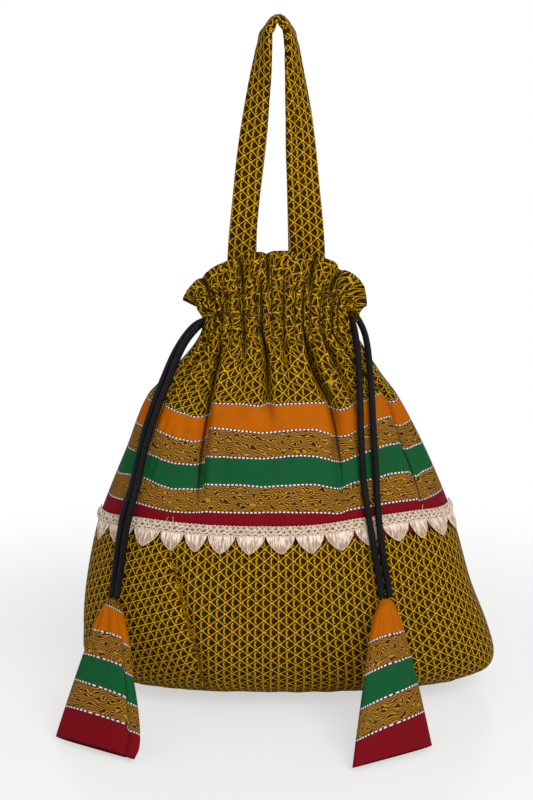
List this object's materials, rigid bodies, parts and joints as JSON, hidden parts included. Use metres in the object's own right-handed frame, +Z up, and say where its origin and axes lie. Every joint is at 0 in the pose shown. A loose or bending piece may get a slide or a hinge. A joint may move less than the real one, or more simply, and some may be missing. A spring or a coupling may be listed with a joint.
{
  "type": "potli bag",
  "caption": "Gathered brocade drawstring bag with a striped band, a lace border, a strap loop and cord tassels.",
  "frame": {"origin": "middle of the base's flat, on the surface that the bag stands on", "axes": "+Z up through the neck and the strap, +X to the right seen from the front, the front with the stripes and tassels towards -Y"},
  "size_m": [0.3474, 0.2585, 0.5411],
  "materials": {
    "brocade": "dark brocade with a yellow woven lattice",
    "striped_brocade": "woven stripes of orange, gold, green and maroon with white dots",
    "lining": "plain maroon cloth",
    "lace": "cream crocheted braid",
    "satin": "pale satin",
    "cord": "black braided cord"
  },
  "bodies": {
    "bag": {"lower_pouch": "brocade", "front_panel": "striped_brocade", "back_panel": "brocade", "front_casing": "lining", "back_casing": "lining", "lace_braid": "lace", "lace_petal_01": "satin", "lace_petal_02": "satin", "lace_petal_03": "satin", "lace_petal_04": "satin", "lace_petal_05": "satin", "lace_petal_06": "satin", "lace_petal_07": "satin", "lace_petal_08": "satin", "lace_petal_09": "satin", "lace_petal_10": "satin", "lace_petal_11": "satin", "lace_petal_12": "satin", "lace_petal_13": "satin", "lace_petal_14": "satin", "lace_petal_15": "satin", "strap_handle": "brocade", "left_drawcord": "cord", "right_drawcord": "cord"},
    "left_tassel": {"left_tassel": "striped_brocade"},
    "right_tassel": {"right_tassel": "striped_brocade"}
  },
  "joints": [
    {"name": "left_tassel_swing", "type": "hinge", "parent": "bag", "child": "left_tassel", "pos_m": [-0.1295, -0.0635, 0.088], "axis": [-1, 0, 0], "range_deg": [0, 45]},
    {"name": "right_tassel_swing", "type": "hinge", "parent": "bag", "child": "right_tassel", "pos_m": [0.0845, -0.0855, 0.095], "axis": [-1, 0, 0], "range_deg": [0, 45]}
  ]
}
